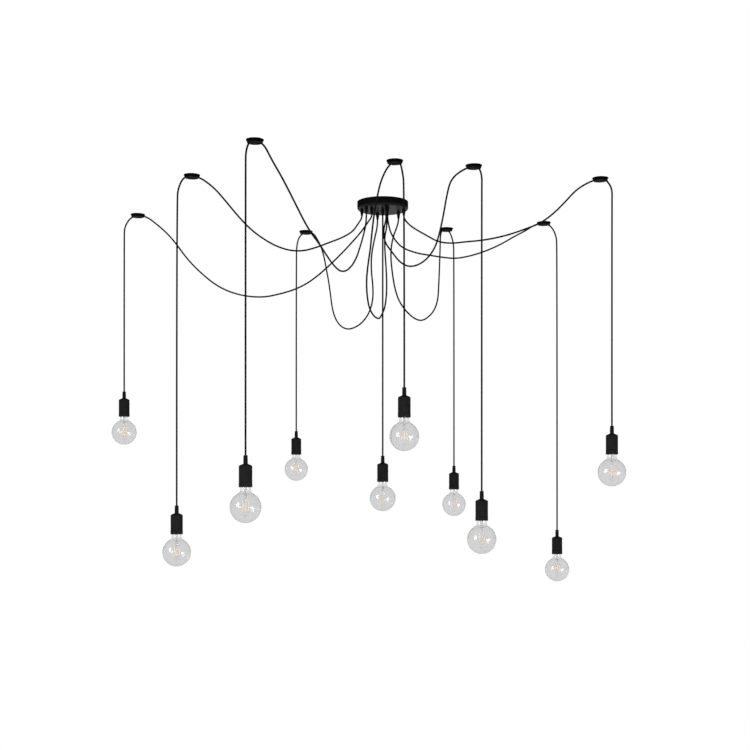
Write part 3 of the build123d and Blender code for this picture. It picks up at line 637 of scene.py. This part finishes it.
# ---------------------------------------------------------------------------
# Bulb (heights in mm above the globe's centre)
# ---------------------------------------------------------------------------
def skin(shift, n_globe, n_blend):
    """One skin of the glass from the pole up to where it meets the cap."""
    radius, blend = 47.5 - shift, 12.0 + shift
    cr = 27.8
    ch = math.sqrt(59.5 ** 2 - cr ** 2)
    top = math.atan2(ch, cr)
    out = []
    for i in range(n_globe + 1):
        a = -math.pi / 2 + (top + math.pi / 2) * i / n_globe
        out.append((max(0.0, radius * math.cos(a)), radius * math.sin(a)))
    a0, a1 = top + math.pi, math.pi
    for i in range(1, n_blend + 1):
        a = a0 + (a1 - a0) * i / n_blend
        out.append((cr + blend * math.cos(a), ch + blend * math.sin(a)))
    r = cr - blend
    out += [(r, 57.5), (r, 60.5), (r - 0.05, 62.6), (r - 0.8, 64.4), (r - 2.2, 66.4), (r - 3.2, 68.2), (r - 3.5, 70.0), (r - 3.5, 72.0)]
    return out


globe_profile = skin(0.0, 60, 12) + list(reversed(skin(0.9, 60, 12)))
cap_v, cap_f = threaded(12.9, 0.32, 69.6, 89.4, 0.35)
collar_v, collar_f = lathe_data(rounded([(12.35, 68.4), (12.75, 68.3, 0.15), (12.95, 69.7, 0.2), (12.6, 69.7)], 3), 72)
dome_v, dome_f = lathe_data(rounded([(12.5, 89.3), (12.9, 89.3), (12.6, 90.2, 0.6), (10.8, 91.3, 0.8), (8.0, 91.9, 0.3), (8.0, 91.4), (10.5, 90.6, 0.6), (12.1, 89.5, 0.4)], 4), 72)

STICKS, STICK_R, STICK_AT = 6, 1.0, 10.0
STAR_HI, STAR_LO = 21.6, -15.0


def polar(r, a, z):
    return Vector((r * math.cos(a), r * math.sin(a), z))


def build_mount():
    """Star wires, lead-in wires and the tabs that hold the sticks."""
    parts = []
    def wire(points, r, sides=8):
        v, f, _ = tube_data([Vector(p) * MM for p in points], r * MM, sides)
        parts.append((v, f))
    for k in range(STICKS):
        a = 2 * math.pi * (k + 0.5) / STICKS
        for z, s in ((STAR_HI, 1), (STAR_LO, -1)):
            wire([polar(0.9, a, z), polar(STICK_AT * 0.5, a, z + 0.5 * s), polar(STICK_AT * 0.86, a, z + 0.35 * s),
                  polar(STICK_AT, a, z - 0.5 * s), polar(STICK_AT, a, z - 2.0 * s)], 0.32)
    for z in (STAR_HI, STAR_LO):
        parts.append(lathe_data(rounded([(0.95, z - 0.9), (1.7, z - 0.9, 0.2), (1.7, z + 0.9, 0.2), (0.95, z + 0.9)], 3), 24))
    # two lead-in wires from the pinch down to the stars, and up inside the stem
    wire([(1.9, 0, 62), (1.7, 0, 50), (1.8, 0, 40), (2.0, 0, 33), (2.6, 0.4, 28.5), (2.4, 0.6, 24), (1.2, 0.3, STAR_HI + 0.5)], 0.36)
    wire([(-1.9, 0, 62), (-1.7, 0, 50), (-1.8, 0, 40), (-2.0, 0, 33), (-2.7, -0.3, 28.0), (-2.9, -0.5, 20.0),
          (-2.7, -0.3, 5.0), (-2.2, -0.2, -9.0), (-1.2, 0, STAR_LO + 0.3)], 0.36)
    return merge(parts)


def build_sticks():
    parts = []
    for k in range(STICKS):
        a = 2 * math.pi * (k + 0.5) / STICKS
        z0, z1 = STAR_LO + 1.9, STAR_HI - 1.9
        prof = rounded([(0, z0), (STICK_R + 0.2, z0, 0.7), (STICK_R + 0.2, z1, 0.7), (0, z1)], 4)
        v, f = lathe_data(prof, 16, (STICK_AT * math.cos(a), STICK_AT * math.sin(a), 0))
        parts.append((v, f))
    return merge(parts)


def build_stem():
    """Flared glass tube, its flat pinch and the rod down through the stars."""
    tube = lathe_data(rounded([
        (11.6, 68.9, 0.3), (11.6, 67.9, 0.4), (8.4, 63.8, 4.0), (5.6, 57.5, 6.0), (4.6, 50.0, 8.0), (4.2, 40.0, 3.0), (3.1, 35.2, 1.5), (0, 34.6),
        (0, 37.2), (2.6, 38.2, 1.2), (3.3, 43.0, 3.0), (3.7, 52.0, 5.0), (4.8, 58.4, 5.0), (7.6, 64.6, 4.0), (10.3, 68.9, 0.3)], 6), 40)
    pinch_v, pinch_f = lathe_data(rounded([(0, 36.0), (3.3, 35.8, 1.2), (3.6, 32.6, 1.0), (2.6, 29.6, 1.2), (1.1, 28.4, 0.6), (0, 28.3)], 5), 40)
    pinch_v = [Vector((v.x * 1.15, v.y * 0.55, v.z)) for v in pinch_v]
    rod = lathe_data(rounded([(0, 28.8), (0.9, 28.8), (0.9, STAR_LO - 1.2, 0.6), (0, STAR_LO - 1.5)], 4), 20)
    return merge([tube, (pinch_v, pinch_f), rod])


mount_v, mount_f = build_mount()
sticks_v, sticks_f = build_sticks()
stem_v, stem_f = build_stem()

SHAPES = {}


def placed(kind, n, at, body, make):
    """The first light's piece is made, and the others share its mesh."""
    name = "%s_%s" % (kind, n)
    if kind not in SHAPES:
        ob = make(name)
        SHAPES[kind] = ob
        ob.location = at
    else:
        ob = instance(SHAPES[kind], name, at)
    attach(ob, body)
    return ob


for n, d in LIGHTS.items():
    x, y = d["drop"]
    mouth = Vector((x, y, d["globe_z"] + MOUTH_ABOVE_GLOBE)) * MM
    globe = Vector((x, y, d["globe_z"])) * MM
    hang, lamp = "pendant_" + n, "lamp_" + n
    upper = placed("holder_cover", n, mouth, hang, lambda s: lathe(s, UPPER, M_HOLDER, 96))
    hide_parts("lampholder_" + n)
    ring = placed("holder_ring", n, mouth, hang, lambda s: lathe(s, RING, M_HOLDER, 96))
    relief = placed("strain_relief", n, mouth, hang, lambda s: lathe(s, RELIEF, M_RELIEF, 48))
    insert = placed("socket_insert", n, mouth, hang, lambda s: lathe(s, CUP, M_INSERT, 72))
    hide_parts("socket_" + n)
    shell = placed("socket_shell", n, mouth, hang, lambda s: new_object(s, *merge([(shell_v, shell_f), (floor_v, floor_f), (tongue_v, tongue_f)]), M_BRASS))
    envelope = placed("globe", n, globe, lamp, lambda s: lathe(s, globe_profile, M_GLASS, 144, sharp_deg=70))
    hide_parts("bulb_" + n)
    placed("screw_cap", n, globe, lamp, lambda s: new_object(s, *merge([(cap_v, cap_f), (collar_v, collar_f), (dome_v, dome_f)]), M_NICKEL))
    placed("cap_insulator", n, globe, lamp, lambda s: lathe(s, rounded([(0, 91.0), (7.9, 91.0), (7.9, 92.1, 0.6), (5.3, 94.9, 0.8), (0, 95.0)], 4), M_VITRITE, 48))
    placed("cap_contact", n, globe, lamp, lambda s: lathe(s, rounded([(0, 94.6), (4.7, 94.6), (4.7, 95.3, 0.3), (3.9, 96.3, 0.8), (1.6, 96.9, 1.5), (0, 97.0)], 5), M_SOLDER, 40))
    placed("stem", n, globe, lamp, lambda s: new_object(s, stem_v, stem_f, M_STEM, sharp_deg=50))
    placed("filament_mount", n, globe, lamp, lambda s: new_object(s, mount_v, mount_f, M_WIRE, sharp_deg=50))
    placed("filaments", n, globe, lamp, lambda s: new_object(s, sticks_v, sticks_f, M_PHOSPHOR_PAINTED_GLOW, sharp_deg=50))

# ---------------------------------------------------------------------------
# Light and background
# ---------------------------------------------------------------------------
def softbox(name, towards, distance, size, radiance, target=(-0.05, 0.0, -0.95), diffuse=True, glossy=True):
    data = bpy.data.lights.new(name, "AREA")
    data.shape = "RECTANGLE"
    data.size, data.size_y = size
    data.energy = radiance * math.pi * size[0] * size[1]
    ob = bpy.data.objects.new(name, data)
    t = Vector(target)
    d = Vector(towards).normalized()
    ob.location = t + d * distance
    ob.rotation_mode = "QUATERNION"
    ob.rotation_quaternion = d.to_track_quat("Z", "Y")
    ob.visible_diffuse = diffuse
    ob.visible_glossy = glossy
    ob.visible_transmission = glossy
    scene.collection.objects.link(ob)
    return ob


GLASS_ONLY = bpy.data.collections.new("lit_by_key")
for ob in scene.collection.objects:
    if ob.name.startswith(("globe_", "stem_")):
        GLASS_ONLY.objects.link(ob)
for box in (softbox("key", (-0.765, -0.61, 0.25), 7.0, (2.4, 3.0), 6.2, diffuse=False),
            softbox("answer", (0.725, -0.66, -0.22), 7.0, (3.1, 3.6), 7.6, diffuse=False)):
    box.light_linking.receiver_collection = GLASS_ONLY
softbox("front", (-0.12, -1.0, 0.05), 8.0, (3.0, 3.0), 9.0, glossy=False)

# a plain pale floor, white to the eye and through the glass
me = bpy.data.meshes.new("floor")
me.from_pydata([(-40, -40, -2.4), (40, -40, -2.4), (40, 40, -2.4), (-40, 40, -2.4)], [], [(0, 1, 2, 3)])
floor = bpy.data.objects.new("floor", me)
scene.collection.objects.link(floor)
fm = bpy.data.materials.new("floor_pale")
fm.use_nodes = True
fnt = fm.node_tree
fnt.nodes.clear()
me.materials.append(fm)


def seen(nt):
    """1 for what the eye sees directly or through glass, else 0."""
    path = nt.nodes.new("ShaderNodeLightPath")
    return math_node(nt, "MAXIMUM", path.outputs["Is Camera Ray"], path.outputs["Is Transmission Ray"])


shine = fnt.nodes.new("ShaderNodeEmission")
fnt.links.new(ramp(fnt, noise(fnt, object_coords(fnt), 0.7), (0.97, 0.98, 1.0), (0.98, 0.99, 1.0)), shine.inputs["Color"])
shine.inputs["Strength"].default_value = 0.37
white = fnt.nodes.new("ShaderNodeEmission")
fmix = fnt.nodes.new("ShaderNodeMixShader")
fnt.links.new(seen(fnt), fmix.inputs["Fac"])
fnt.links.new(shine.outputs[0], fmix.inputs[1])
fnt.links.new(white.outputs[0], fmix.inputs[2])
fnt.links.new(fmix.outputs[0], fnt.nodes.new("ShaderNodeOutputMaterial").inputs["Surface"])

# white behind everything; the room that lights and is mirrored is dim above the floor
world = bpy.data.worlds.new("studio")
scene.world = world
world.use_nodes = True
wnt = world.node_tree
wnt.nodes.clear()
w_out = wnt.nodes.new("ShaderNodeOutputWorld")


def background(color, strength):
    bg = wnt.nodes.new("ShaderNodeBackground")
    bg.inputs["Color"].default_value = (*color, 1)
    bg.inputs["Strength"].default_value = strength
    return bg


def mix_worlds(fac, first, second):
    m = wnt.nodes.new("ShaderNodeMixShader")
    wnt.links.new(fac, m.inputs["Fac"])
    wnt.links.new(first.outputs[0], m.inputs[1])
    wnt.links.new(second.outputs[0], m.inputs[2])
    return m


path = wnt.nodes.new("ShaderNodeLightPath")
mirrored = mix_worlds(path.outputs["Is Singular Ray"], background((0.97, 0.98, 1.0), 0.02), background((1, 1, 1), 0.06))
final = mix_worlds(seen(wnt), mirrored, background((1, 1, 1), 1.0))
wnt.links.new(final.outputs[0], w_out.inputs["Surface"])

scene.view_settings.view_transform = "Standard"
scene.view_settings.look = "None"
scene.view_settings.exposure = 0.0
scene.view_settings.gamma = 1.0

bpy.context.view_layer.update()
